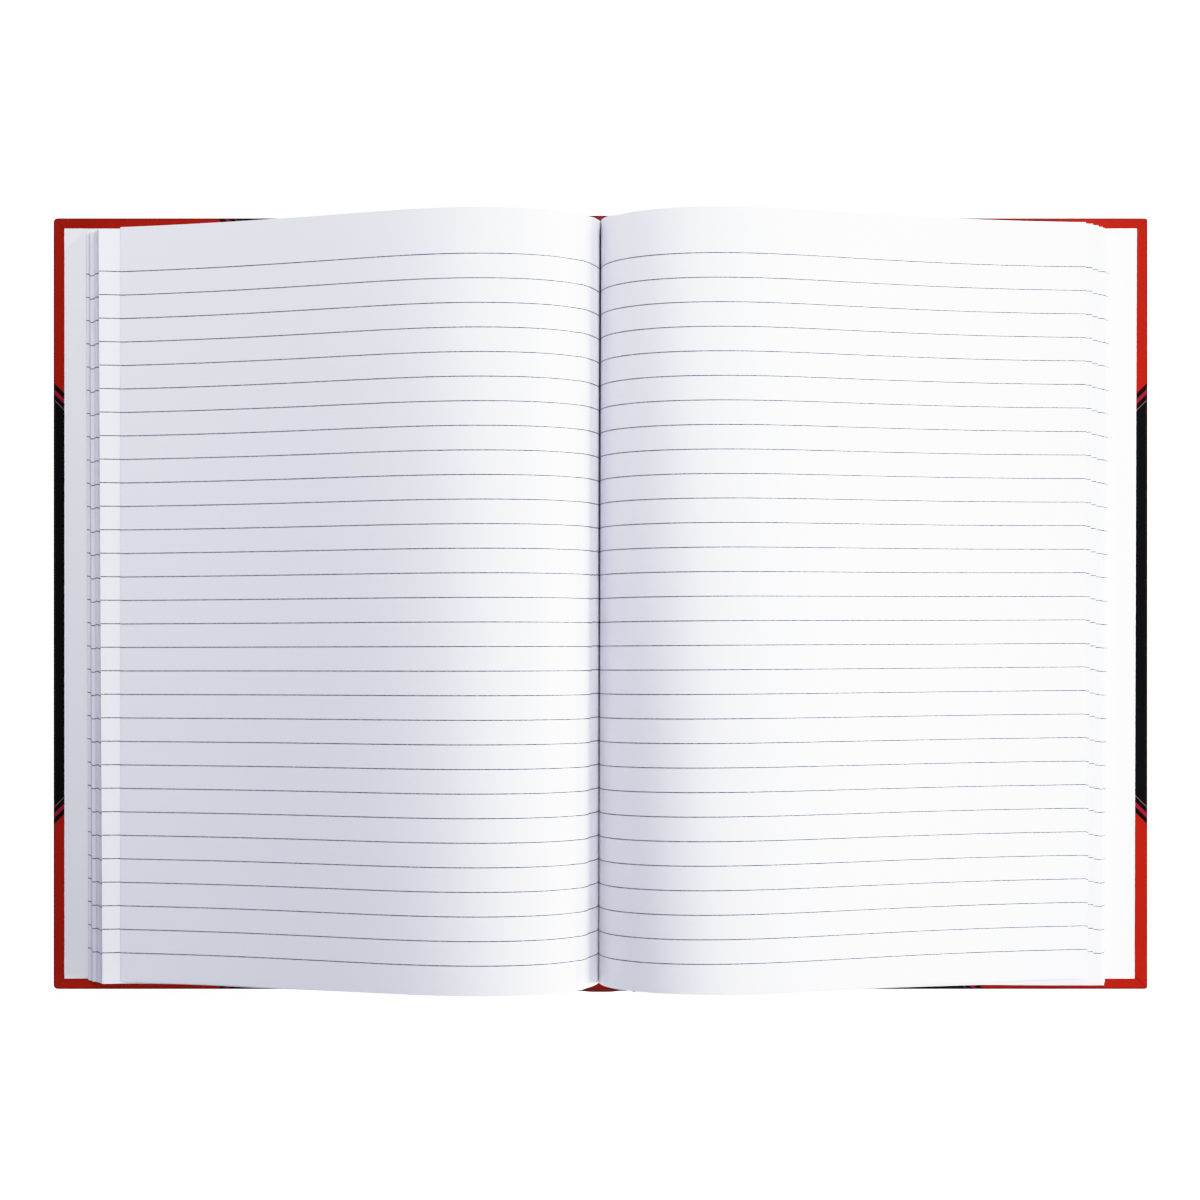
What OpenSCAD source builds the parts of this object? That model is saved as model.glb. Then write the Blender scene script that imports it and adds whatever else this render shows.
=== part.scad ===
// Casebound ruled notebook, open at its middle and lying flat on its covers.
// X runs across the open book, with the front half at negative X.
// Y runs from the tail to the head, Z points up, and Z = 0 is the surface it lies on.

/* [Leaves] */
// Width of one leaf, from the spine to the fore-edge
page_w = 182; // [148:1:216]
// Height of one leaf, from head to tail
page_h = 257; // [210:1:300]
// Thickness of all the leaves together at the spine
block_t = 11; // [7:0.5:16]
// Thickness of one leaf
leaf_t = 0.09; // [0.07:0.01:0.2]
// Sections that step out under the two upper leaves of each half
sections = 5; // [3:1:8]
// Share of each step that is the slanted edge of its section
edge_share = 0.45; // [0.2:0.05:0.8]

/* [Open shape] */
// Height over the boards where the two middle leaves part
valley_h = 8; // [6:0.5:11]
// How far a middle leaf leans out before it turns over
rise_lean = 2; // [0.5:0.5:5]
// Height over the boards at which a front middle leaf turns over
front_turn_h = 18.8; // [14:0.2:21]
// Height over the boards at which a back middle leaf turns over
back_turn_h = 15.9; // [13:0.2:20]
// Crest of the front half, out from the gutter
front_crest_x = 38.5; // [32:0.5:48]
// Crest of the back half, out from the gutter
back_crest_x = 36.8; // [32:0.5:48]
// Crest of the front half, over the boards
front_crest_h = 27.7; // [24:0.1:34]
// Crest of the back half, over the boards
back_crest_h = 26.7; // [24:0.1:34]
// Length of flat crest on the gutter side of the front half
front_crest_run = 21; // [12:0.5:26]
// Length of flat crest on the gutter side of the back half
back_crest_run = 26; // [12:0.5:28]
// Length of flat crest on the fore-edge side of both halves
crest_out_run = 34; // [20:1:50]
// Length over which the leaves settle towards the fore-edge
settle_run = 66; // [40:1:80]
// Slope of the upper leaves at the fore-edge
settle_slope = 0.07; // [0.02:0.01:0.12]
// Height of the front half at the fore-edge, over the boards
front_edge_h = 5.8; // [4:0.1:9]
// Height of the back half at the fore-edge, over the boards
back_edge_h = 6.8; // [4:0.1:9]
// Crest of the lowest leaves, over the boards
low_crest_h = 16; // [12:0.5:20]
// Height over the boards at which the lowest leaves turn over
low_turn_h = 12; // [8:0.5:16]
// Crest of the lowest leaves, out from the gutter
low_crest_x = 36; // [30:0.5:44]
// Length of flat crest on the gutter side of the lowest leaves
low_crest_run = 18; // [10:0.5:22]
// Place where the lowest leaves come down on the boards, out from the gutter
touch_x = 140; // [125:1:144]

/* [Fore-edge steps] */
// Width of the front top leaf that its arch takes up
front_top_takeup = 18.5; // [15:0.1:22]
// Width of the front second leaf that its arch takes up
front_second_takeup = 11.8; // [10.4:0.1:14]
// Width of the upper front section that its arch takes up
front_upper_takeup = 9.8; // [7:0.1:10.2]
// Width of the lowest front leaves that their arch takes up
front_low_takeup = 5.4; // [4.8:0.1:6.4]
// Width of the back top leaf that its arch takes up
back_top_takeup = 17; // [16:0.1:20]
// Width of the back second leaf that its arch takes up
back_second_takeup = 15.3; // [14:0.1:15.8]
// Width of the upper back section that its arch takes up
back_upper_takeup = 13.4; // [9:0.1:13.8]
// Width of the lowest back leaves that their arch takes up
back_low_takeup = 6.4; // [5:0.1:8]

/* [Case] */
// Thickness of a cover board
board_t = 2; // [1.4:0.1:3]
// Thickness of the covering paper
cover_t = 0.25; // [0.15:0.05:0.4]
// Thickness of the lining cloth on the spine
cloth_t = 0.25; // [0.15:0.05:0.4]
// Thickness of the endpapers
endpaper_t = 0.15; // [0.1:0.05:0.3]
// Thickness of the card strip in the spine
strip_t = 0.6; // [0.4:0.1:1]
// Amount that the spine strip stands out past the leaves on each side
strip_margin = 0.5; // [0.3:0.1:1.5]
// Gap between the spine strip and a board, in which the cover hinges
hinge_gap = 5; // [4:0.5:9]
// Distance of a board from the spine edge of the leaves in the shut book
board_setback = 8.5; // [7:0.5:12]
// Amount that a board stands out past the fore-edge of the shut book
fore_square = 4; // [2:0.5:5]
// Amount that a board stands out past the leaves at head and tail
head_square = 4.5; // [2:0.5:6]
// Width of the covering paper turned in over the boards
turn_in = 15; // [12:0.5:20]
// Width of the lining cloth glued down on each board
cloth_w = 25; // [15:1:40]
// Radius of the front board's two outer corners
front_corner_r = 1.3; // [0.5:0.1:4]
// Radius of the back board's two outer corners
back_corner_r = 0.8; // [0.5:0.1:4]
// Width of the mitred seam where two turn-ins meet
seam_w = 0.2; // [0.1:0.05:0.4]

/* [Hidden] */
$fn = 48;

// Colours
leaf_colour = [0.93, 0.94, 0.98];
endpaper_colour = [0.95, 0.96, 0.97];
red = [0.72, 0.09, 0.07];
black = [0.06, 0.06, 0.07];
grey_board = [0.55, 0.53, 0.5];
cloth_colour = [0.86, 0.84, 0.78];

// Steps on a curved stretch of leaf
rise_steps = 14;
fall_steps = 20;

// Heights of the layers, from the surface upwards
fold_t = max(cover_t, cloth_t);
board_top = cover_t + board_t;
strip_top = cover_t + strip_t;
hinge_top = cover_t + fold_t;
block_base = strip_top + fold_t;
paste_top = board_top + endpaper_t;

// Places across the book, out from the gutter
block_half = block_t / 2;
strip_half = block_half + strip_margin;
board_x = strip_half + hinge_gap;
joint_x = (strip_half + board_x) / 2;
board_w = page_w + fore_square - board_setback;
board_edge = board_x + board_w;
cover_edge = board_edge + cover_t;
paste_edge = cover_edge - fore_square;

// Heights along the spine
cover_h = page_h + 2 * head_square;
board_h = cover_h - 2 * cover_t;
window_h = cover_h - 2 * turn_in;

// A point, and then a row of points, on the cubic curve with the four handles in p
function cubic(p, t) = pow(1 - t, 3) * p[0] + 3 * pow(1 - t, 2) * t * p[1]
    + 3 * (1 - t) * t * t * p[2] + pow(t, 3) * p[3];
function curve(p, n, first = 0) = [for (i = [first : n]) cubic(p, i / n)];

// The points of a path moved sideways by d, to the left of its run where d is positive
function unit(v) = v / norm(v);
function left_of(v) = [-v[1], v[0]];
function run(path, i) = unit(path[i + 1] - path[i]);
function corner_shift(a, b) = (left_of(a) + left_of(b)) / (1 + a * b);
function moved(path, d) = [for (i = [0 : len(path) - 1])
    path[i] + d * (i == 0 ? left_of(run(path, 0))
        : i == len(path) - 1 ? left_of(run(path, i - 1))
        : corner_shift(run(path, i - 1), run(path, i)))];
function reversed(path) = [for (i = [len(path) - 1 : -1 : 0]) path[i]];

// Upper side of the top leaf in one half, from the gutter to the fore-edge
function top_leaf(turn_h, crest_x, crest_h, crest_run, edge_x, edge_h) = concat(
    curve([[0, paste_top + valley_h], [rise_lean, paste_top + turn_h],
           [crest_x - crest_run, paste_top + crest_h], [crest_x, paste_top + crest_h]],
          rise_steps),
    curve([[crest_x, paste_top + crest_h], [crest_x + crest_out_run, paste_top + crest_h],
           [edge_x - settle_run, paste_top + edge_h + settle_run * settle_slope],
           [edge_x, paste_top + edge_h]],
          fall_steps, 1));

// Underside of the lowest leaf in one half, from the spine to where it lies down
low_rise = curve([[block_half, block_base], [block_half, paste_top + low_turn_h],
                  [low_crest_x - low_crest_run, paste_top + low_crest_h],
                  [low_crest_x, paste_top + low_crest_h]],
                 rise_steps);
low_fall = curve([[low_crest_x, paste_top + low_crest_h],
                  [low_crest_x + crest_out_run, paste_top + low_crest_h],
                  [touch_x - settle_run / 2, paste_top + endpaper_t],
                  [touch_x, paste_top + endpaper_t]],
                 fall_steps, 1);
low_leaf = concat(low_rise, low_fall);

// Fore-edge of one half, from under the top leaf down to the lowest leaf: the second
// leaf shows as one broad step, and each section below it as a slanted edge and a step
function fore_edge(top_x, second_x, upper_x, low_x, edge_h) =
    let (under_top = paste_top + edge_h - 2 * leaf_t,
         second_z = under_top - (second_x - top_x) * settle_slope / 2,
         upper_z = second_z - 2 * leaf_t,
         low_z = paste_top + endpaper_t,
         step_x = (low_x - upper_x) / (sections - 1 + edge_share),
         step_z = (upper_z - low_z) / sections)
    concat(
        [[top_x, under_top], [second_x, second_z], [second_x, second_z - leaf_t]],
        [for (i = [0 : sections - 1], lower = [0, 1])
            let (step_end = upper_x + (i + lower * edge_share) * step_x,
                 z = upper_z - (i + lower) * step_z)
            [step_end, z]]);

// Outline of one half of the leaves, from the gutter round to the foot of the lowest leaf
function half_outline(turn_h, crest_x, crest_h, crest_run, edge_h,
                      top_takeup, second_takeup, upper_takeup, low_takeup) = concat(
    top_leaf(turn_h, crest_x, crest_h, crest_run, page_w - top_takeup, edge_h),
    fore_edge(page_w - top_takeup, page_w - second_takeup, page_w - upper_takeup,
              page_w - low_takeup, edge_h),
    reversed(low_leaf));
back_half = half_outline(back_turn_h, back_crest_x, back_crest_h, back_crest_run, back_edge_h,
                         back_top_takeup, back_second_takeup, back_upper_takeup,
                         back_low_takeup);
front_half = half_outline(front_turn_h, front_crest_x, front_crest_h, front_crest_run,
                          front_edge_h, front_top_takeup, front_second_takeup,
                          front_upper_takeup, front_low_takeup);

// Stands a section, drawn as [across, up], along the spine with the given length
module along_spine(length) {
    rotate([90, 0, 0])
        linear_extrude(height = length, center = true)
            children();
}

// Sheet of even thickness that follows a path, on its left where t is positive
module sheet(path, t, length) {
    along_spine(length)
        polygon(concat(path, reversed(moved(path, t))));
}

// Both halves of the leaves, joined at the spine and parted down to the valley
module text_block() {
    color(leaf_colour)
        along_spine(page_h)
            polygon(concat(back_half, [for (i = [len(front_half) - 1 : -1 : 1])
                [-front_half[i][0], front_half[i][1]]]));
}

// Free half of an endpaper: from the hinge up the side of the leaves and out under them
module flyleaf(low_takeup) {
    foot = [[joint_x, hinge_top], [strip_half + fold_t, hinge_top],
            [strip_half + fold_t, block_base]];
    color(endpaper_colour)
        sheet(concat(foot, low_leaf, [[page_w - low_takeup, paste_top + endpaper_t]]),
              -endpaper_t, page_h);
}

module front_flyleaf() {
    mirror([1, 0, 0])
        flyleaf(front_low_takeup);
}

module back_flyleaf() {
    flyleaf(back_low_takeup);
}

// Path over the spine strip and into the two hinge gaps
function over_strip() = [[joint_x, cover_t], [strip_half, cover_t], [strip_half, strip_top],
                         [-strip_half, strip_top], [-strip_half, cover_t], [-joint_x, cover_t]];

// Cloth glued along the back of the leaves
module spine_lining() {
    color(cloth_colour)
        sheet(over_strip(), -cloth_t, window_h);
}

// Card that stiffens the spine of the case
module spine_strip() {
    color(grey_board)
        translate([-strip_half, -board_h / 2, cover_t])
            cube([2 * strip_half, board_h, strip_t]);
}

// Spine panel of the covering paper, turned in over the strip at head and tail
module spine_cover_paper() {
    end_t = (cover_h - window_h) / 2;
    color(red)
        difference() {
            union() {
                translate([-joint_x, -cover_h / 2, 0])
                    cube([2 * joint_x, cover_h, cover_t]);
                for (side = [-1, 1])
                    translate([0, side * (cover_h - end_t) / 2, 0])
                        along_spine(end_t)
                            polygon(concat([[-joint_x, 0], [joint_x, 0]],
                                           moved(over_strip(), -cover_t)));
            }
            translate([-strip_half, -board_h / 2, cover_t])
                cube([2 * strip_half, board_h, strip_t]);
        }
}

// Plan of a board or its covering: square at the hinge and round at the outer corners
module cover_plan(x_in, x_out, h, r) {
    translate([x_in, -h / 2])
        square([x_out - x_in - r, h]);
    translate([x_in, r - h / 2])
        square([x_out - x_in, h - 2 * r]);
    for (side = [-1, 1])
        translate([x_out - r, side * (h / 2 - r)])
            circle(r);
}

// Plan of the inner face that the turned-in paper leaves open
module window_plan() {
    translate([0, -window_h / 2])
        square([cover_edge - turn_in, window_h]);
}

// Board, pressed down along its margins by the turned-in paper and at the hinge by the cloth
module board(corner_r) {
    color(grey_board)
        difference() {
            translate([0, 0, cover_t])
                linear_extrude(height = board_t)
                    cover_plan(board_x, board_edge, board_h, corner_r);
            translate([0, 0, board_top - cover_t])
                linear_extrude(height = board_t)
                    difference() {
                        cover_plan(board_x - cover_t, cover_edge, cover_h, corner_r);
                        window_plan();
                    }
            translate([board_x - cloth_t, -window_h / 2, board_top - cloth_t])
                cube([cloth_t + cloth_w, window_h, board_t]);
        }
}

// Covering paper of one board, with its margins turned in and mitred at the outer corners
module cover_paper(corner_r) {
    outer_r = corner_r + cover_t;
    seam_run = turn_in * sqrt(2);
    lead = turn_in / 10;
    color(black)
        difference() {
            union() {
                linear_extrude(height = hinge_top)
                    cover_plan(joint_x, cover_edge, cover_h, outer_r);
                linear_extrude(height = board_top)
                    cover_plan(board_x - cover_t, cover_edge, cover_h, outer_r);
            }
            translate([0, 0, cover_t])
                linear_extrude(height = board_t - cover_t)
                    cover_plan(board_x, board_edge, board_h, corner_r);
            translate([0, 0, cover_t])
                linear_extrude(height = 2 * board_t)
                    window_plan();
            for (side = [-1, 1])
                translate([cover_edge - turn_in, side * window_h / 2, board_top - cover_t / 2])
                    rotate([0, 0, side * 45])
                        translate([-lead, -seam_w / 2, 0])
                            cube([lead + seam_run, seam_w, cover_t]);
        }
}

// Lining cloth carried across the hinge gap and glued to one board
module hinge_cloth() {
    color(cloth_colour)
        sheet([[joint_x, cover_t], [board_x, cover_t], [board_x, board_top - cloth_t],
               [board_x + cloth_w, board_top - cloth_t]],
              cloth_t, window_h);
}

// Glued half of an endpaper, from the hinge over the turned-in margins of one board
module pastedown() {
    color(endpaper_colour)
        sheet([[joint_x, hinge_top], [board_x - fold_t, hinge_top],
               [board_x - fold_t, board_top], [paste_edge, board_top]],
              endpaper_t, page_h);
}

module front_board() {
    mirror([1, 0, 0])
        board(front_corner_r);
}

module front_cover_paper() {
    mirror([1, 0, 0])
        cover_paper(front_corner_r);
}

module front_hinge_cloth() {
    mirror([1, 0, 0])
        hinge_cloth();
}

module front_pastedown() {
    mirror([1, 0, 0])
        pastedown();
}

module back_board() {
    board(back_corner_r);
}

module back_cover_paper() {
    cover_paper(back_corner_r);
}

module back_hinge_cloth() {
    hinge_cloth();
}

module back_pastedown() {
    pastedown();
}

text_block();
front_flyleaf();
back_flyleaf();
spine_lining();
spine_strip();
spine_cover_paper();
front_board();
front_cover_paper();
front_hinge_cloth();
front_pastedown();
back_board();
back_cover_paper();
back_hinge_cloth();
back_pastedown();
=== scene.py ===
import bmesh
import bpy
import numpy as np
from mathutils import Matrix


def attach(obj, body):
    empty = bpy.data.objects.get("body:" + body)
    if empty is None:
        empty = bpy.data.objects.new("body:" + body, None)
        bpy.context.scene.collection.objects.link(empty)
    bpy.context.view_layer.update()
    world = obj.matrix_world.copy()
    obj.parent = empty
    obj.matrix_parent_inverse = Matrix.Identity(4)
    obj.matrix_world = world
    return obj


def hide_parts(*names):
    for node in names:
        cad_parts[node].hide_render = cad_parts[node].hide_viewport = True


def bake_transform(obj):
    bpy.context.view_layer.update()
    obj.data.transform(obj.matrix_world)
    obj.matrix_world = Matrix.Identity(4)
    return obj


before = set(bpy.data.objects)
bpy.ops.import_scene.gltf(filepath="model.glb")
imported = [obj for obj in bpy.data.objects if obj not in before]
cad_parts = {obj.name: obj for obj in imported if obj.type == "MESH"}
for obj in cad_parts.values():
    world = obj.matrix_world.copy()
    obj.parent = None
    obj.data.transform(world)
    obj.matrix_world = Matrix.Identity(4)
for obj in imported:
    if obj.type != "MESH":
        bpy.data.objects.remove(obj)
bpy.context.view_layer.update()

# Boards and spine strip
# Two grey boards of 2 mm and a narrow strip of thin card, die-cut from recycled waste paper. They
# lie inside the covering paper, so the solids stay as they are and only get their fibrous finish.
MM = 0.001
DARK_PULP = (0.2, 0.185, 0.165, 1)
LIGHT_PULP = (0.4, 0.38, 0.345, 1)
INKY_FLECK = (0.1, 0.1, 0.12, 1)


def finish(name, colour, roughness, gloss):
    """A new material with the shader values that are the same all over it."""
    made = bpy.data.materials.new(name)
    made.use_nodes = True
    shader = made.node_tree.nodes["Principled BSDF"]
    shader.inputs["Base Color"].default_value = (*colour, 1)
    shader.inputs["Roughness"].default_value = roughness
    shader.inputs["Specular IOR Level"].default_value = gloss
    return made


def add(made, kind, feeds=None, **options):
    """Adds one node to a material. A feed is another node's output, which is linked, or a value."""
    new = made.node_tree.nodes.new("ShaderNode" + kind)
    for option, value in options.items():
        setattr(new, option, value)
    for socket, value in (feeds or {}).items():
        if isinstance(value, bpy.types.NodeSocket):
            made.node_tree.links.new(value, new.inputs[socket])
        else:
            new.inputs[socket].default_value = value
    return new.outputs


def reckon(made, operation, *values):
    """One sum, product or comparison of sockets and numbers."""
    return add(made, "Math", dict(enumerate(values)), operation=operation)[0]


def step_up(made, value, start, end, low=0.0, high=1.0):
    """The low number below start, the high one above end, and a straight ramp between them."""
    return add(made, "MapRange", {0: value, 1: start, 2: end, 3: low, 4: high})[0]


def mixed(made, share, under, over, way="MIX"):
    """Colour under, with colour over laid on it by the given share."""
    pair = {0: share, 6: under, 7: over}
    return add(made, "Mix", pair, data_type="RGBA", blend_type=way)[2]


def speckle(made, place, scale, detail=4.0, rough=0.55):
    """Cloudy noise of 0 to 1 whose grains are 1 / scale metres across."""
    feeds = {"Vector": place, "Scale": scale, "Detail": detail, "Roughness": rough}
    return add(made, "TexNoise", feeds)["Fac"]


def wire(made, colour=None, height=None, depth=0.0, roughness=None):
    """Feeds the shader with a colour, a relief whose full height is depth, and a roughness."""
    shader = made.node_tree.nodes["Principled BSDF"]
    if colour is not None:
        made.node_tree.links.new(colour, shader.inputs["Base Color"])
    if roughness is not None:
        made.node_tree.links.new(roughness, shader.inputs["Roughness"])
    if height is not None:
        relief = add(made, "Bump", {"Height": height, "Distance": depth, "Strength": 1.0})
        made.node_tree.links.new(relief["Normal"], shader.inputs["Normal"])


greyboard = finish("grey_board", (0.3, 0.28, 0.25), 0.95, 0.15)
place = add(greyboard, "TexCoord")["Object"]
pulp = speckle(greyboard, place, 900, 6)
flecks = speckle(greyboard, place, 2600, 2)
tone = mixed(greyboard, pulp, DARK_PULP, LIGHT_PULP)
tone = mixed(greyboard, step_up(greyboard, flecks, 0.66, 0.74), tone, INKY_FLECK)
wire(greyboard, tone, pulp, 0.06 * MM)
for name in ("front_board", "back_board", "spine_strip"):
    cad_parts[name].data.materials.clear()
    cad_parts[name].data.materials.append(greyboard)

# Covering paper
# Printed, grained and varnished paper of 0.25 mm, glued round the boards and the strip with its
# margins turned in, mitred at the corners, and pressed into the hinge gaps. Red spine and corners.
PAPER_T = 0.25
COVER_EDGE = 188.75
COVER_HALF = 133.0
TURN_IN = 15.0
# beside the spine the folds stand out at head and tail, and in the spine's middle a little more
FOLD_OUT = 1.0
SPINE_OUT = 1.3
# the turned-in margin's height over the strip, in the hinge gap and on the board
STRIP_TOP = 1.1
GAP_TOP = 0.5
BOARD_TOP = 2.25
GAP_WALL = (6.05, 6.7)
BOARD_WALL = (10.2, 11.1)
SPINE_HALF = 6.0
# radius of the fold round the board's lower and upper edge
FOLD_R = 0.24
TOP_FOLD_R = 0.55
# the seam between two turn-ins at a corner: its width, and how deep it is pressed
SEAM = 0.2
GROOVE = 0.2
# the wrap profile's points: under the board, round the lower and the upper fold, on the turn-in
UNDER_END = 5
TURN_START = 9
PROFILE = 16
UNDER_REACH = 3.0


def piece_from(name, points, faces, finish_of, prints=None, angle=40):
    """A mesh piece at the origin, from points in millimetres, with its printed coordinates."""
    mesh = bpy.data.meshes.new(name)
    mesh.from_pydata((points * MM).tolist(), [], faces.tolist())
    if prints is not None:
        marks = mesh.attributes.new("printed", "FLOAT_VECTOR", "POINT")
        marks.data.foreach_set("vector", (prints * MM).ravel())
    body = bmesh.new()
    body.from_mesh(mesh)
    bmesh.ops.remove_doubles(body, verts=body.verts, dist=0.002 * MM)
    bmesh.ops.dissolve_degenerate(body, edges=body.edges, dist=0.001 * MM)
    body.to_mesh(mesh)
    body.free()
    mesh.shade_smooth()
    mesh.set_sharp_from_angle(angle=np.radians(angle))
    mesh.materials.append(finish_of)
    made = bpy.data.objects.new(name, mesh)
    bpy.context.scene.collection.objects.link(made)
    return made


def turned_half(points, side):
    """The back half as it is, or turned half round the gutter for the front half."""
    return points * np.array([side, side, 1.0])


def quads(a, b, c, d):
    """Faces from four grids of point numbers, given in the order round each face."""
    return np.stack([a, b, c, d], -1).reshape(-1, 4)


def grid_faces(number):
    """Faces of a grid of point numbers. They look up where rows run along X and columns along Y."""
    near = number[..., :-1]
    far = number[..., 1:]
    return quads(near[..., :-1, :], near[..., 1:, :], far[..., 1:, :], far[..., :-1, :])


def closed_sheets(upper, lower):
    """Points and faces of closed sheets from grids [sheet, along, across] of their two sides."""
    points = np.concatenate([upper.reshape(-1, 3), lower.reshape(-1, 3)])
    top, low = np.arange(len(points)).reshape(2, *upper.shape[:3])
    rims = [quads(top[:, 0, :-1], top[:, 0, 1:], low[:, 0, 1:], low[:, 0, :-1]),
            quads(top[:, -1, :-1], low[:, -1, :-1], low[:, -1, 1:], top[:, -1, 1:]),
            quads(top[:, :-1, 0], low[:, :-1, 0], low[:, 1:, 0], top[:, 1:, 0]),
            quads(top[:, :-1, -1], top[:, 1:, -1], low[:, 1:, -1], low[:, :-1, -1])]
    under = grid_faces(low)[:, ::-1]
    return points, np.concatenate([grid_faces(top), under, *rims])


def smooth_step(value, start, end):
    """0 before start, 1 after end, and t * t * (3 - 2 * t) in between."""
    t = np.clip((value - start) / (end - start), 0, 1)
    return t * t * (3 - 2 * t)


def covered_height(across):
    """Height of the turned-in margin: over the strip, down into the hinge gap, up on the board."""
    into_gap = (STRIP_TOP - GAP_TOP) * smooth_step(across, *GAP_WALL)
    return STRIP_TOP - into_gap + (BOARD_TOP - GAP_TOP) * smooth_step(across, *BOARD_WALL)


def wrap_profile(height, inset):
    """Round the edge of a board, from under it to the end of the turn-in: depth in from the edge,
    height, and the length along the paper from the edge. Both folds are quarter circles. The
    paper's inner side is the same profile with an inset of its thickness."""
    turn = np.radians(np.array([0, 30, 60, 90]))
    quarter = np.stack([1 - np.sin(turn), 1 - np.cos(turn)], 1)
    low = max(FOLD_R - inset, 0.01) * quarter
    top = (TOP_FOLD_R - inset) * quarter[::-1]
    ends = np.array([0.7, 1.2, 2.0, 3.0, 5.0, 9.0, TURN_IN]) - inset
    depth = np.concatenate([[UNDER_REACH - inset], low[:, 0], top[:, 0], ends])
    up = np.empty((len(height), PROFILE))
    up[:, :UNDER_END] = np.append(inset, inset + low[:, 1])
    up[:, UNDER_END:] = height[:, None] - inset
    up[:, UNDER_END:TURN_START] -= top[:, 1]
    run = np.where(np.arange(PROFILE) < UNDER_END, -depth, up + depth)
    return depth, up, run


def board_skin(corner_r, inset):
    """One side of the covering paper round the back board: points, and the places they are printed
    at. Points go round the board's outline, and each carries the wrap profile. At a corner they
    close in on the mitre line, where a groove is left between the two turn-ins."""
    edge = COVER_EDGE - inset
    half = COVER_HALF - inset
    corner_r = corner_r - inset
    over_gap = np.concatenate([[6, 6.2, 6.5, 6.8, 7.2], np.arange(7.6, 11.4, 0.3)])
    on_board = [12, 14, 18, 30, 60, 90, 120, 150, 168, 173, 177, 181, 184]
    along = np.concatenate([over_gap, on_board, [edge - corner_r]])
    up_y = np.concatenate([np.linspace(0, 110, 12), [117.8, 121, 125, 128], [half - corner_r]])
    turn = np.radians([15, 30, 44, 45, 45, 45, 45, 46, 60, 75])
    round_out = np.stack([np.sin(turn), np.cos(turn)], 1)
    arc = np.array([edge - corner_r, half - corner_r]) + corner_r * round_out
    mitre = len(along) + len(turn) // 2
    head = np.stack([along, half + FOLD_OUT * (1 - smooth_step(along, 6, 70))], 1)
    fore = np.stack([np.full(len(up_y), edge), up_y], 1)[::-1]
    outline = np.concatenate([head, arc, fore])
    out = np.concatenate([np.tile([0, 1.0], (len(along), 1)), round_out,
                          np.tile([1.0, 0], (len(up_y), 1))])
    is_fore = np.arange(len(outline)) >= mitre
    floor = np.zeros(len(outline))
    floor[mitre - 1:mitre + 1] = GROOVE if inset == 0 else 0
    # the tail half is the head half turned over, without the row at the middle
    turned_over = np.array([1, -1])
    outline = np.concatenate([outline, outline[-2::-1] * turned_over])
    out = np.concatenate([out, out[-2::-1] * turned_over])
    is_fore = np.concatenate([is_fore, is_fore[-2::-1]])[:, None]
    floor = np.concatenate([floor, floor[-2::-1]])[:, None]
    depth, up, run = wrap_profile(covered_height(outline[:, 0]), inset)
    spot = outline[:, None] - np.minimum(depth, corner_r)[None, :, None] * out[:, None]
    turned_in = np.arange(PROFILE) > TURN_START
    gap = np.where(turned_in, SEAM / 2, 0)
    limit_x = edge - depth - np.where(is_fore, 0, gap)
    limit_y = half - depth - np.where(is_fore, gap, 0)
    side_y = np.sign(outline[:, 1:])
    tall = np.abs(spot[..., 1])
    past = depth >= corner_r
    inner_x = np.where(is_fore, limit_x, np.minimum(spot[..., 0], limit_x))
    inner_y = np.where(is_fore, np.minimum(tall, limit_y), limit_y)
    x = np.where(past, inner_x, spot[..., 0])
    y = np.where(past, inner_y, tall) * side_y
    skin = np.stack([x, y, up - floor * turned_in], -1)
    # printed place: the sheet laid flat again, with its wall and its turn-in folded outwards
    folded = np.arange(PROFILE) >= UNDER_END
    flat_x = np.where(is_fore & folded, edge + run, x)
    flat_y = np.where(is_fore | ~folded, y, (half + run) * side_y)
    printed = np.stack([flat_x, flat_y, np.zeros_like(x)], -1)
    # the flat outer face inside the first row of the ring
    face_edge = COVER_EDGE - UNDER_REACH
    face_half = COVER_HALF - UNDER_REACH
    columns = np.append(along[along < face_edge], face_edge)
    rows = np.append(up_y[up_y < face_half], face_half)
    rows = np.concatenate([-rows[:0:-1], rows])
    flat = np.stack(np.meshgrid(columns, rows, [inset], indexing="ij"), -1)[:, :, 0]
    return skin, printed, flat


def board_wrap(corner_r):
    """Covering paper round the back board as one closed sheet: its two sides, joined along the
    hinge and along the rim of the turn-in."""
    points = []
    prints = []
    for inset in (0, PAPER_T):
        skin, printed, flat = board_skin(corner_r, inset)
        points += [skin.reshape(-1, 3), flat.reshape(-1, 3)]
        prints += [printed.reshape(-1, 3), flat.reshape(-1, 3)]
    number = np.arange(skin.shape[0] * PROFILE).reshape(skin.shape[0], PROFILE)
    face = np.arange(flat.size // 3).reshape(flat.shape[:2]) + number.size
    ring = quads(number[:-1, :-1], number[:-1, 1:], number[1:, 1:], number[1:, :-1])
    outer = np.concatenate([ring, grid_faces(face)[:, ::-1]])
    under = number.size + face.size
    rims = []
    for edge_points in (number[:, -1], number[-1, ::-1], face[0, :], number[0, :]):
        a, b = edge_points[:-1], edge_points[1:]
        rims.append(quads(a, a + under, b + under, b))
    faces = np.concatenate([outer, outer[:, ::-1] + under, *rims])
    return np.concatenate(points), faces, np.concatenate(prints)


def band(made, value, start, end, soft=0.05):
    """1 where the value in millimetres is between start and end, with a soft edge."""
    rise = step_up(made, value, (start - soft) * MM, (start + soft) * MM)
    fall = step_up(made, value, (end - soft) * MM, (end + soft) * MM)
    return reckon(made, "SUBTRACT", rise, fall)


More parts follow.
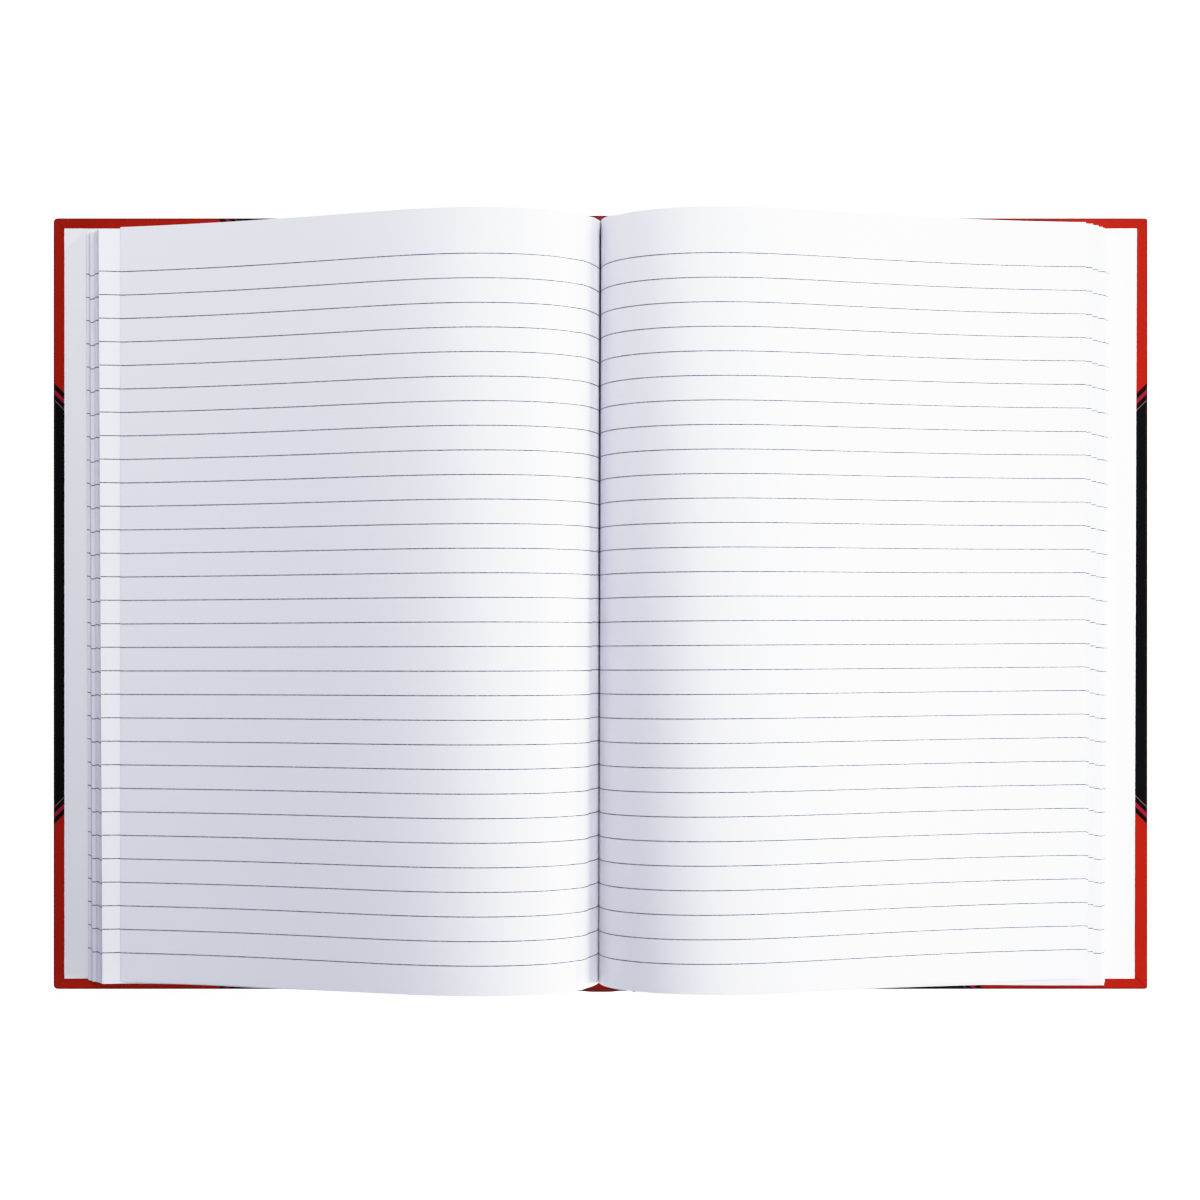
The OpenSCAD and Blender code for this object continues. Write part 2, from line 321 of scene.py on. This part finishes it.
# the print, in millimetres from the corner (both ways added up) and from the spine's middle
CORNER_RED = (54.3, 54.4)
CORNER_STRIPE = (56.4, 58.0)
CORNER_LINE = (60.0, 60.25)
SPINE_RED = (5.45, 5.55)
SPINE_STRIPE = (6.9, 8.3)
SPINE_LINE = (10.25, 10.45)
DEEP_BLACK = (0.001, 0.001, 0.001, 1)
WORN_BLACK = (0.004, 0.004, 0.005, 1)
DEEP_RED = (0.34, 0.008, 0.003, 1)
LIGHT_RED = (0.42, 0.012, 0.004, 1)
STRIPE_RED = (0.3, 0.008, 0.025, 1)
HAIRLINE_PINK = (0.36, 0.15, 0.17, 1)
# brown of the painted shade along the cover's folded edges
FOLD_SHADE_BROWN = (0.06, 0.02, 0.015, 1)
FOLD_MIDDLE = 1.3

covering = finish("printed_covering_paper", (0.43, 0.009, 0.006), 0.25, 0.06)
printed = add(covering, "Attribute", attribute_name="printed")["Vector"]
place = add(covering, "TexCoord")["Object"]
u, v, _ = add(covering, "SeparateXYZ", {"Vector": printed})
u = reckon(covering, "ABSOLUTE", u)
v = reckon(covering, "ABSOLUTE", v)
both_ways = reckon(covering, "ADD", u, v)
to_corner = reckon(covering, "SUBTRACT", (COVER_EDGE + COVER_HALF) * MM, both_ways)
past_corner = step_up(covering, to_corner, CORNER_RED[0] * MM, CORNER_RED[1] * MM)
past_spine = step_up(covering, u, SPINE_RED[0] * MM, SPINE_RED[1] * MM)
corner_red = reckon(covering, "SUBTRACT", 1.0, past_corner)
spine_red = reckon(covering, "SUBTRACT", 1.0, past_spine)
corner_stripe = band(covering, to_corner, *CORNER_STRIPE)
stripes = reckon(covering, "ADD", corner_stripe, band(covering, u, *SPINE_STRIPE))
corner_line = band(covering, to_corner, *CORNER_LINE)
hairlines = reckon(covering, "ADD", corner_line, band(covering, u, *SPINE_LINE))
panels = reckon(covering, "ADD", corner_red, spine_red)
any_red = reckon(covering, "ADD", panels, stripes)
cloud = speckle(covering, place, 60, 5)
grain = speckle(covering, place, 2400, 3)
black_tone = mixed(covering, grain, DEEP_BLACK, WORN_BLACK)
red_tone = mixed(covering, cloud, DEEP_RED, LIGHT_RED)
ink = mixed(covering, reckon(covering, "MINIMUM", any_red, 1.0), black_tone, red_tone)
ink = mixed(covering, reckon(covering, "MINIMUM", stripes, 1.0), ink, STRIPE_RED)
ink = mixed(covering, reckon(covering, "MULTIPLY", hairlines, 0.8), ink, HAIRLINE_PINK)
# painted shade: the print is darkened to brown along the folds over the board's edges
off_fore = reckon(covering, "SUBTRACT", u, (COVER_EDGE + FOLD_MIDDLE) * MM)
off_head = reckon(covering, "SUBTRACT", v, (COVER_HALF + FOLD_MIDDLE) * MM)
past_fore = reckon(covering, "ABSOLUTE", off_fore)
past_head = reckon(covering, "ABSOLUTE", off_head)
to_fold = reckon(covering, "MINIMUM", past_fore, past_head)
painted_fold_shade = reckon(covering, "MULTIPLY", step_up(covering, to_fold, 1.9 * MM, 1.3 * MM), 0.6)
ink = mixed(covering, painted_fold_shade, ink, FOLD_SHADE_BROWN)
varnish = add(covering, "MapRange", {0: cloud, 3: 0.2, 4: 0.32})[0]
wire(covering, ink, grain, 0.012 * MM, varnish)

for side, half, corner_r in ((-1, "front", 1.55), (1, "back", 1.05)):
    points, faces, prints = board_wrap(corner_r)
    wrap = piece_from(half + "_cover_wrap", turned_half(points, side), faces, covering,
                      turned_half(prints, side))
    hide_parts(half + "_cover_paper")
    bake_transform(wrap)

spine_x = np.linspace(-SPINE_HALF, SPINE_HALF, 13)
spine_out = SPINE_OUT - (SPINE_OUT - FOLD_OUT) * (spine_x[:, None] / SPINE_HALF) ** 4
sides = []
prints = []
for inset in (PAPER_T, 0):
    depth, up, run = wrap_profile(np.full(1, STRIP_TOP), inset)
    depth = COVER_HALF - inset - depth
    run = COVER_HALF - inset + run[0]
    section = np.stack([np.append(-depth[::-1], depth), np.append(up[0, ::-1], up[0])], 1)
    skin = np.empty((1, len(spine_x), 2 * PROFILE, 3))
    skin[..., 0] = spine_x[:, None]
    skin[..., 1:] = section
    skin[..., 1] *= 1 + spine_out / COVER_HALF
    sides.append(skin)
    printed = skin.copy()
    printed[..., 1] = np.append(-run[::-1], run)
    prints.append(printed.reshape(-1, 3))
points, faces = closed_sheets(*sides)
wrap = piece_from("spine_cover_wrap", points, faces, covering,
                  np.concatenate(prints))
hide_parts("spine_cover_paper")
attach(wrap, "book")

# Lining cloth
# Open starched cotton, glued along the back of the leaves and onto the boards under the endpapers.
# It can't be seen in the finished book, so the solids stay, with the cloth's weave on them.
BETWEEN_THREADS = (0.5, 0.47, 0.4, 1)
COTTON_THREAD = (0.84, 0.81, 0.73, 1)
cotton = finish("lining_cotton", (0.78, 0.75, 0.66), 0.9, 0.1)
place = add(cotton, "TexCoord")["Object"]
thread = {"Vector": place, "Scale": 600.0, "Distortion": 0.6, "Detail": 1.0}
warp = add(cotton, "TexWave", thread, bands_direction="X")["Fac"]
weft = add(cotton, "TexWave", thread, bands_direction="Y")["Fac"]
weave = reckon(cotton, "MAXIMUM", warp, weft)
wire(cotton, mixed(cotton, weave, BETWEEN_THREADS, COTTON_THREAD), weave, 0.08 * MM)
for name in ("spine_lining", "front_hinge_cloth", "back_hinge_cloth"):
    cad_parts[name].data.materials.clear()
    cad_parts[name].data.materials.append(cotton)

# Ruled leaves
# Sixty leaves on each side, of 0.09 mm writing paper, trimmed square and sewn at the spine. Opened
# in the middle, they rise from the spine, turn over a crest and settle on the covers in steps.
LEAVES = 60
PAGE_HALF = 128.5
# a leaf is drawn thinner than its share of the stack, so that the cut edges part
LEAF_T = 0.07
PITCH = 0.0915
ENDPAPER_T = 0.15
# heights of the glued endpaper's top and of the leaves' foot, and the gutter's floor over the first
PASTE_TOP = 2.4
BLOCK_BASE = 1.1
VALLEY = 8.0
# points along a stacked leaf's curve
STATIONS = 64
# the hollow under the arch: its foot, its crest and the place where the leaves come down flat
FOOT_X = 5.5
HOLLOW_CREST_X = 36.0
HOLLOW_CREST = 16.0
LANDING_X = 140.0
# length of the fall's last handle, on which an open leaf settles in a straight slope
SETTLE_RUN = 66.0


def bezier(handles, count):
    """Cubic curve through four handles: (1-t)^3 A + 3 (1-t)^2 t B + 3 (1-t) t^2 C + t^3 D."""
    t = np.linspace(0, 1, count)[:, None]
    a, b, c, d = np.array(handles, float)
    return (1 - t) ** 3 * a + 3 * (1 - t) ** 2 * t * b + 3 * (1 - t) * t ** 2 * c + t ** 3 * d


def left_normals(path):
    """Unit vectors to the left of a path's run, at each of its points."""
    run = np.gradient(path, axis=-2)
    run /= np.linalg.norm(run, axis=-1, keepdims=True)
    return np.stack([-run[..., 1], run[..., 0]], -1)


def evenly(path, count, close=0):
    """The same path with count points at equal distances along it. The first 30 mm can be set
    with more of them, at equal distances as well."""
    length = np.append(0, np.cumsum(np.linalg.norm(np.diff(path, axis=0), axis=1)))
    at = np.linspace(0, length[-1], count)
    if close:
        at = np.append(np.linspace(0, 30, close), at[at > 30.5])
    return np.stack([np.interp(at, length, path[:, 0]), np.interp(at, length, path[:, 1])], 1)


def ended_at(path, reach):
    """The path cut off where it comes to the given distance from the gutter."""
    kept = path[path[:, 0] < reach]
    return np.append(kept, [[reach, np.interp(reach, path[:, 0], path[:, 1])]], 0)


def lowest_path():
    """Underside of the lowest leaf: a cubic rise and fall, and then flat on the endpaper."""
    flat = PASTE_TOP + ENDPAPER_T
    crest = PASTE_TOP + HOLLOW_CREST
    top = [HOLLOW_CREST_X, crest]
    rise = bezier([[FOOT_X, BLOCK_BASE], [FOOT_X, PASTE_TOP + 12], [18, crest], top], 160)
    fall = bezier([top, [70, crest], [107, flat], [LANDING_X, flat]], 200)
    return np.concatenate([rise, fall[1:], [[150, flat], [165, flat], [180, flat], [260, flat]]])


def open_path(fold_x, lean, turn, crest_x, crest, run, out_run, slope, edge_x, edge):
    """Upper side of a middle leaf: straight up the sewn fold, which stands open by fold_x at the
    valley, a cubic rise to the crest, and a cubic fall to the fore-edge. Heights are over the
    glued endpaper. The rise leaves the fold by lean and turns at the given height, run and out_run
    are its handles before and after the crest, and it settles down to the edge on the slope."""
    valley = PASTE_TOP + VALLEY
    top = [crest_x, PASTE_TOP + crest]
    last = [edge_x, PASTE_TOP + edge]
    sewn = [[0.03, BLOCK_BASE], [0.03, 4], [fold_x / 2, 7]]
    rise = bezier([[fold_x, valley], [fold_x + lean, PASTE_TOP + turn],
                   [crest_x - run, top[1]], top], 160)
    fall = bezier([top, [crest_x + out_run, top[1]],
                   [edge_x - SETTLE_RUN, last[1] + SETTLE_RUN * slope], last], 200)
    return np.concatenate([sewn, rise, fall[1:]])


def stacked_paths(middle, reaches, edge_pitch, curl):
    """Centre lines of the leaves under a middle one. Each lies on the next lower one at an even
    distance, which grows a little where they fan out at the fore-edge. Over the arch the upper few
    are drawn up towards the middle leaf by a falling share, which goes to nothing where they
    settle, and the edge of the first one curls up."""
    lowest = lowest_path()
    normal = left_normals(lowest)
    top = evenly(middle, STATIONS)
    settled = smooth_step(np.linspace(0, 1, STATIONS), 0.72, 0.98)[:, None]
    pitch = PITCH + (edge_pitch - PITCH) * smooth_step(lowest[:, :1], 60, 160)
    paths = []
    for number, reach in enumerate(reaches, 1):
        lift = (LEAVES - 1 - number) * pitch + LEAF_T / 2
        own = evenly(ended_at(lowest + lift * normal, reach), STATIONS)
        drawn = 0.94 * 0.9 ** (number - 1) * (1 - settled)
        paths.append((1 - drawn) * own + drawn * top)
    paths = np.array(paths)
    paths[0, :, 1] += curl * smooth_step(paths[0, :, 0], middle[-1, 0] - 1, paths[0, -1, 0])
    return paths


def sheets_along(paths, rows, thickness):
    """Both sides of sheets of even thickness on centre lines [sheet, along, (out, up)], drawn out
    over the rows along the spine."""
    normal = left_normals(paths) * thickness / 2
    grids = []
    for edge in (paths + normal, paths - normal):
        grid = np.empty((*edge.shape[:2], len(rows), 3))
        grid[..., 0] = edge[..., None, 0]
        grid[..., 1] = rows
        grid[..., 2] = edge[..., None, 1]
        grids.append(grid)
    return grids


RULE_PITCH = 8.0
FIRST_RULE = 113.4
LAST_RULE = -118.6
HALF_RULE = (0.14, 0.19)
DARK_SHEET = (0.86, 0.87, 0.91, 1)
LIGHT_SHEET = (0.915, 0.92, 0.945, 1)
CLOUDED_SHEET = (0.87, 0.87, 0.905, 1)
# grey of the painted shade along the leaves' cut edges
SHADED_CUT_EDGE = (0.76, 0.76, 0.84, 1)
RULING_INK = (0.035, 0.035, 0.09, 1)
# violet-grey of the painted shade on the gutter's wall
VIOLET_GUTTER_SHADE = (0.7, 0.63, 0.88, 1)
# dark navy of the painted shadow down in the fold
NAVY_FOLD_SHADOW = (0.17, 0.175, 0.33, 1)

writing = finish("ruled_writing_paper", (0.88, 0.89, 0.93), 0.8, 0.2)
printed = add(writing, "Attribute", attribute_name="printed")["Vector"]
place = add(writing, "TexCoord")["Object"]
ruled_x, ruled_y, from_cut = add(writing, "SeparateXYZ", {"Vector": printed})
wobble = speckle(writing, place, 14, 2)
ruled_y = reckon(writing, "ADD", ruled_y, reckon(writing, "MULTIPLY", wobble, 0.12 * MM))
from_last = reckon(writing, "SUBTRACT", ruled_y, LAST_RULE * MM)
turns = reckon(writing, "DIVIDE", from_last, RULE_PITCH * MM)
off_turn = reckon(writing, "SUBTRACT", turns, reckon(writing, "ROUND", turns))
nearest = reckon(writing, "ABSOLUTE", off_turn)
off_line = reckon(writing, "MULTIPLY", nearest, RULE_PITCH * MM)
beside = step_up(writing, off_line, HALF_RULE[0] * MM, HALF_RULE[1] * MM)
line = reckon(writing, "SUBTRACT", 1.0, beside)
in_field = band(writing, ruled_y, LAST_RULE - 2, FIRST_RULE + 2)
line = reckon(writing, "MULTIPLY", line, in_field)
ink_dots = speckle(writing, place, 1800, 2)
line = reckon(writing, "MULTIPLY", line, step_up(writing, ink_dots, 0.3, 0.6, low=0.62))
fibres = speckle(writing, place, 1500, 5, 0.65)
look_through = speckle(writing, place, 120, 4)
sheet_tone = mixed(writing, fibres, DARK_SHEET, LIGHT_SHEET)
clouds = reckon(writing, "MULTIPLY", look_through, 0.35)
sheet_tone = mixed(writing, clouds, sheet_tone, CLOUDED_SHEET)
# painted shade: the leaves' cut edges and the strip beside them are greyer, most at the tail
cut_edge_shade = step_up(writing, from_cut, 0.3 * MM, 0.05 * MM)
tail_shade_share = step_up(writing, ruled_y, -100 * MM, 0.0, low=1.0, high=0.3)
cut_edge_shade = reckon(writing, "MULTIPLY", cut_edge_shade, tail_shade_share)
sheet_tone = mixed(writing, cut_edge_shade, sheet_tone, SHADED_CUT_EDGE)
sheet_tone = mixed(writing, line, sheet_tone, RULING_INK)
# painted shade: low on the back page's wall of the gutter the paper is tinted violet-grey
from_fold = reckon(writing, "ABSOLUTE", ruled_x)
across, _, up = add(writing, "SeparateXYZ", {"Vector": place})
in_fold = step_up(writing, from_fold, 5.0 * MM, 4.0 * MM)
painted_gutter_shade = reckon(writing, "MULTIPLY", in_fold, step_up(writing, up, 20.0 * MM, 11.0 * MM))
painted_gutter_shade = reckon(writing, "MULTIPLY", painted_gutter_shade, step_up(writing, across, -0.5 * MM, 1.0 * MM))
painted_gutter_shade = reckon(writing, "MULTIPLY", painted_gutter_shade, 0.35)
# painted shadow: down in the fold, below the valley, the open leaves are painted dark navy
glued = reckon(writing, "MULTIPLY", in_fold, step_up(writing, up, 11.2 * MM, 10.5 * MM))
sheet_tone = mixed(writing, painted_gutter_shade, sheet_tone, VIOLET_GUTTER_SHADE)
sheet_tone = mixed(writing, glued, sheet_tone, NAVY_FOLD_SHADOW)
wire(writing, sheet_tone, fibres, 0.01 * MM)

leaf_rows = np.linspace(-PAGE_HALF, PAGE_HALF, 5)
fine_rows = np.linspace(-PAGE_HALF, PAGE_HALF, 65)


def lay_stack(half, side, middle, reaches, ruled, slid, skew, edge_pitch, curl, stand_off, edge_shade_squeeze):
    """The leaves under the open one as one piece. Towards the fore-edge each is shifted along the
    spine by slid and turned askew by skew, its ruling stands off by ruled, and stand_off shifts
    them all. The printed places are x, y and the distance from the cut edge, times the last
    argument, which narrows the painted shade along the cut."""
    paths = stacked_paths(middle, reaches, edge_pitch, curl)
    upper, lower = sheets_along(paths, leaf_rows * side, LEAF_T)
    marks = upper.copy()
    for grid in (upper, lower):
        settled = smooth_step(grid[..., 0], 40, 160)
        grid[..., 0] += skew[:, None, None] * leaf_rows * settled
        grid[..., 1] = leaf_rows + stand_off + slid[:, None, None] * settled
    off_ruling = ruled[:, None, None] * smooth_step(upper[..., 0], 40, 160)
    marks[..., 1] = upper[..., 1] - off_ruling
    # the distance from the cut edge, which sets where the painted edge shade falls
    marks[..., 2] = (upper[:, -1:, :, 0] - upper[..., 0]) * edge_shade_squeeze
    # only the open leaves carry the painted shade of the fold, so the others' places begin beyond
    # it
    marks[..., 0] += 10
    marks = marks.reshape(-1, 3)
    points, faces = closed_sheets(upper * [1, side, 1], lower * [1, side, 1])
    leaves = piece_from(half + "_leaves", turned_half(points, side), faces, writing,
                        np.concatenate([marks, marks]))
    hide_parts("text_block")
    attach(leaves, "book")


def lay_open_leaf(half, side, middle, tilt, crease, stand_off, edge_shade_squeeze):
    """The middle leaf, which is the page that shows, on a finer mesh. It is shifted by stand_off
    and tilted along the spine, and has a crease beside its fold, of the given height."""
    fine = evenly(middle, 120, 90)
    fine = fine - left_normals(fine) * LEAF_T / 2
    upper, lower = sheets_along(fine[None], fine_rows, LEAF_T)
    marks = upper.reshape(-1, 3).copy()
    # the distance from the cut edge, which sets where the painted edge shade falls
    marks[:, 2] = (middle[-1, 0] - marks[:, 0]) * edge_shade_squeeze
    # the fold is pressed shut at the head
    shut = smooth_step(upper[..., 1], 124, 127.5) * (1 - smooth_step(upper[..., 0], 0.5, 2))
    shut = 0.95 * shut * upper[..., 0]
    for grid in (upper, lower):
        # a crease runs down the page 6 mm from the fold, and curves into the fold at the head
        outwards = grid[..., 0] - 6.0 + 4.6 * smooth_step(grid[..., 1], 121, 129)
        ridge = np.maximum(1 - np.maximum(-outwards / 3.5, outwards / 2.0), 0)
        grid[..., 2] += crease * ridge
        grid[..., 0] -= shut
        # the fold itself runs a little askew
        askew = 0.003 * grid[..., 1] - 0.2
        grid[..., 0] += side * askew * (1 - smooth_step(grid[..., 0], 2, 12))
        # and its head corner is drawn out by 0.3 mm in the fold and 0.8 mm beside it
        near_fold = 1 - smooth_step(grid[..., 0], 1, 7)
        in_the_fold = 1 - smooth_step(grid[..., 0], 0, 2.5)
        drawn_out = 0.8 * near_fold - 0.5 * in_the_fold
        grid[..., 1] += drawn_out * smooth_step(grid[..., 1], 114, 128.5)
        grid[..., 1] += stand_off + tilt * grid[..., 0]
    points, faces = closed_sheets(upper * [1, side, 1], lower * [1, side, 1])
    leaf = piece_from(half + "_open_leaf", turned_half(points, side), faces, writing,
                      np.concatenate([marks, marks]))
    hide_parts("text_block")
    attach(leaf, "book")


# how far out the leaves reach, from the top one to the lowest, in the groups that the photo shows
share = (np.arange(LEAVES - 2) + 0.5) / (LEAVES - 2)
front_groups = np.interp(share, [0, 0.3, 0.33, 0.6, 0.64, 0.93, 0.95, 1],
                         [170.7, 171.8, 172.2, 173.5, 174.7, 175.6, 176.5, 176.9])
front_reaches = np.append(170.15, front_groups)
back_groups = np.interp(share[3:], [0, 0.3, 0.33, 0.7, 0.73, 1],
                        [171.2, 171.9, 172.9, 173.5, 174.0, 174.4])
back_reaches = np.concatenate([[166.5, 168.4, 169.8, 170.5], back_groups])
# how far the ruling and the leaves themselves stand off towards the head, leaf by leaf
number = np.arange(1, LEAVES)
front_ruled = np.interp(number, [1, 2, 25, 40, 59], [-0.4, -1.0, -0.6, -1.0, 0.2])
back_ruled = np.interp(number, [1, 2, 3, 5, 59], [0.7, 0.0, -0.5, -0.7, -0.8])
front_slid = np.interp(number, [1, 59], [-0.85, -1.0])
back_slid = np.interp(number, [1, 2, 3, 5, 25, 59], [0.5, 0.0, -0.5, -1.0, -2.0, -1.2])
front_skew = np.interp(number, [1, 20], [0.005, 0.003])
back_skew = np.full(LEAVES - 1, 0.0075)
uneven = np.random.default_rng(5).normal(0, 0.05, (2, LEAVES - 1))
front_slid += uneven[0]
back_slid += uneven[1]

front_middle = open_path(fold_x=0.45, lean=2.7, turn=19.7, crest_x=40.0, crest=28.0, run=25.1,
                         out_run=30.6, slope=0.123, edge_x=163.5, edge=5.8)
back_middle = open_path(fold_x=0.0, lean=0.3, turn=17.5, crest_x=36.6, crest=27.1, run=23.9,
                        out_run=32.0, slope=0.061, edge_x=165.0, edge=6.8)
lay_stack("front", -1, front_middle, front_reaches, front_ruled, front_slid, front_skew,
          edge_pitch=0.0935, curl=0.7, stand_off=-0.25, edge_shade_squeeze=1)
lay_open_leaf("front", -1, front_middle, tilt=-0.0015, crease=0.75, stand_off=-0.25, edge_shade_squeeze=1)
lay_stack("back", 1, back_middle, back_reaches, back_ruled, back_slid, back_skew,
          edge_pitch=0.11, curl=0.0, stand_off=-0.1, edge_shade_squeeze=4)
lay_open_leaf("back", 1, back_middle, tilt=0.006, crease=0.0, stand_off=-0.1, edge_shade_squeeze=4)

# Endpapers
# One folded sheet of white 0.15 mm paper in each half: its free leaf lies under the ruled leaves,
# and the other leaf is glued over the turned-in margins, down into the hinge and out on the board.
PASTE_EDGE = 184.75
GLUED_HALF = 129.2
# inside the turned-in margins the sheet lies lower, and over a folded corner higher
WINDOW_DROP = 0.07
CORNER_LIFT = 0.12
CORNER_PATCH = 7.7
# where the painted highlight over the folded corner begins
LIT_CORNER_FROM = PASTE_EDGE + GLUED_HALF - CORNER_PATCH
DARK_FIBRE = (0.89, 0.895, 0.9, 1)
LIGHT_FIBRE = (0.94, 0.945, 0.94, 1)
WARM_CLOUD = (0.9, 0.9, 0.89, 1)
# white of the painted highlight over the folded corner
CORNER_HIGHLIGHT_WHITE = (0.985, 0.99, 0.99, 1)
# points across the glued endpaper: down the hinge, over the board, the margin's step, the torn edge
IN_HINGE = np.arange(6.2, 11.4, 0.3)
ON_BOARD = [12, 14, 20, 30, 50, 80, 110, 140, 165]
OVER_STEP = [171, 173, 173.5, 174, 174.5, 176]
AT_EDGE = [179, 182, 184, 184.4, 184.6, PASTE_EDGE]

endpaper = finish("white_endpaper", (0.86, 0.87, 0.9), 0.85, 0.2)
place = add(endpaper, "TexCoord")["Object"]
fibres = speckle(endpaper, place, 1300, 5, 0.65)
cloud = speckle(endpaper, place, 90, 4)
tone = mixed(endpaper, fibres, DARK_FIBRE, LIGHT_FIBRE)
tone = mixed(endpaper, reckon(endpaper, "MULTIPLY", cloud, 0.3), tone, WARM_CLOUD)
# painted highlight: over the folded head corner of the front cover the sheet is painted whiter
across, along, _ = add(endpaper, "SeparateXYZ", {"Vector": place})
to_corner = reckon(endpaper, "SUBTRACT", along, across)
painted_corner_light = step_up(endpaper, to_corner, (LIT_CORNER_FROM - 0.4) * MM, (LIT_CORNER_FROM + 0.4) * MM)
tone = mixed(endpaper, painted_corner_light, tone, CORNER_HIGHLIGHT_WHITE)
wire(endpaper, tone, fibres, 0.012 * MM)

for side, half, reach, askew in ((-1, "front", 177.1, 0.0), (1, "back", 175.6, 0.8)):
    lowest = ended_at(lowest_path(), reach)
    foot = np.array([[6.25, 0.72], [6.25, 1.0], [6.1, 1.1], [5.7, 1.12]])
    under = lowest[3:] - left_normals(lowest)[3:] * ENDPAPER_T / 2
    path = np.concatenate([foot, evenly(under, 60)])
    upper, lower = sheets_along(path[None], leaf_rows * side, ENDPAPER_T)
    points, faces = closed_sheets(upper * [1, side, 1], lower * [1, side, 1])
    flyleaf = piece_from(half + "_free_endpaper", turned_half(points, side), faces, endpaper)
    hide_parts(half + "_flyleaf")
    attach(flyleaf, "book")

    columns = np.concatenate([IN_HINGE, ON_BOARD, OVER_STEP, AT_EDGE])
    long_rows = np.linspace(-GLUED_HALF, GLUED_HALF, 520)
    x, y = np.meshgrid(columns, long_rows, indexing="ij")
    base = GAP_TOP + (BOARD_TOP - GAP_TOP) * smooth_step(x, *BOARD_WALL)
    window = smooth_step(COVER_EDGE - TURN_IN - x, -0.4, 0.4)
    window = window * smooth_step(COVER_HALF - TURN_IN - np.abs(y), -0.6, 0.6)
    in_corner = CORNER_PATCH - (PASTE_EDGE - x) - (GLUED_HALF - np.abs(y))
    drop = WINDOW_DROP * window * smooth_step(x, 11.5, 13)
    top = base + ENDPAPER_T - drop + CORNER_LIFT * smooth_step(in_corner, -0.3, 2.0)
    # its cut edge is nibbled, row by row
    rng = np.random.default_rng(11 + side)
    nibbled = rng.normal(size=len(long_rows))
    x = x + nibbled[None] * 0.02 * smooth_step(x, 184.4, PASTE_EDGE)
    # the back one is glued down a little askew, further in at the tail
    x = x - askew * (0.5 - y / (2 * GLUED_HALF)) * smooth_step(x, 178, 182)
    upper = np.stack([x, y, top], -1)[None]
    lower = np.stack([x, y, np.minimum(base, top - 0.08)], -1)[None]
    points, faces = closed_sheets(upper, lower)
    pastedown = piece_from(half + "_glued_endpaper", turned_half(points, side), faces, endpaper)
    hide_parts(half + "_pastedown")
    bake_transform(pastedown)

# Table, light and camera
# A plain white table, a low soft light from the right, a higher one from the head, and a camera
# half a metre above the open pages, looking straight down.
TABLE_GREY = (0.9, 0.9, 0.9, 1)
TABLE_WHITE = (0.93, 0.93, 0.93, 1)
TABLE_GLOW = 1.2
SKY_COLOUR = (0.8, 0.84, 1.0, 1)
SKY_STRENGTH = 0.38
table = finish("white_table", (0.9, 0.9, 0.9), 0.9, 0.1)
place = add(table, "TexCoord")["Object"]
wire(table, mixed(table, speckle(table, place, 3, 3), TABLE_GREY, TABLE_WHITE))
table_shader = table.node_tree.nodes["Principled BSDF"]
table_shader.inputs["Emission Color"].default_value = (1, 1, 1, 1)
table_shader.inputs["Emission Strength"].default_value = TABLE_GLOW
bpy.ops.mesh.primitive_plane_add(size=6, location=(0, 0, -0.0002))
floor = bpy.context.object
floor.name = "table_top"
floor.data.materials.append(table)


def soft_light(name, power, width, height, place_at, aim, colour):
    """A rectangular area light that looks at a point."""
    light = bpy.data.lights.new(name, "AREA")
    light.energy = power
    light.shape = "RECTANGLE"
    light.size = width
    light.size_y = height
    light.color = colour
    lamp = bpy.data.objects.new(name, light)
    lamp.location = place_at
    look = np.array(aim) - np.array(place_at)
    lamp.rotation_euler = (np.arctan2(np.hypot(look[0], look[1]), -look[2]), 0,
                           np.arctan2(look[1], look[0]) - np.pi / 2)
    bpy.context.scene.collection.objects.link(lamp)


soft_light("key_light", power=8.85, width=0.3, height=0.34, place_at=(0.8, -0.18, 0.24),
           aim=(0, 0, 0.01), colour=(1.0, 0.985, 0.96))
soft_light("top_light", power=5.4, width=0.5, height=0.6, place_at=(0.18, 0.56, 0.62),
           aim=(0, 0, 0), colour=(1.0, 1.0, 1.0))

world = bpy.data.worlds.new("studio")
world.use_nodes = True
world.node_tree.nodes["Background"].inputs["Color"].default_value = SKY_COLOUR
world.node_tree.nodes["Background"].inputs["Strength"].default_value = SKY_STRENGTH
bpy.context.scene.world = world

# the photo's film response: even up to three quarters of white, and a soft shoulder above that
FULL_WHITE = 1.8
SHOULDER = ((0.74, 0.74), (0.88, 0.835), (1.0, 0.9), (1.3, 0.965))
view = bpy.context.scene.view_settings
view.view_transform = "Standard"
view.use_curve_mapping = True
view.curve_mapping.white_level = (FULL_WHITE, FULL_WHITE, FULL_WHITE)
response = view.curve_mapping.curves[3]
for light_in, light_out in SHOULDER:
    response.points.new(light_in / FULL_WHITE, light_out)
for point in response.points:
    point.handle_type = "VECTOR"
view.curve_mapping.update()

# it stands 17 mm towards the tail, and a small shift upwards frames the book as the photo does
camera = bpy.data.objects.new("camera", bpy.data.cameras.new("camera"))
camera.data.sensor_width = 36
camera.data.lens = 43.53
camera.data.clip_start = 0.01
camera.data.shift_y = 0.0448
camera.location = (-0.0002, -0.0173, 0.5024)
bpy.context.scene.collection.objects.link(camera)
bpy.context.scene.camera = camera
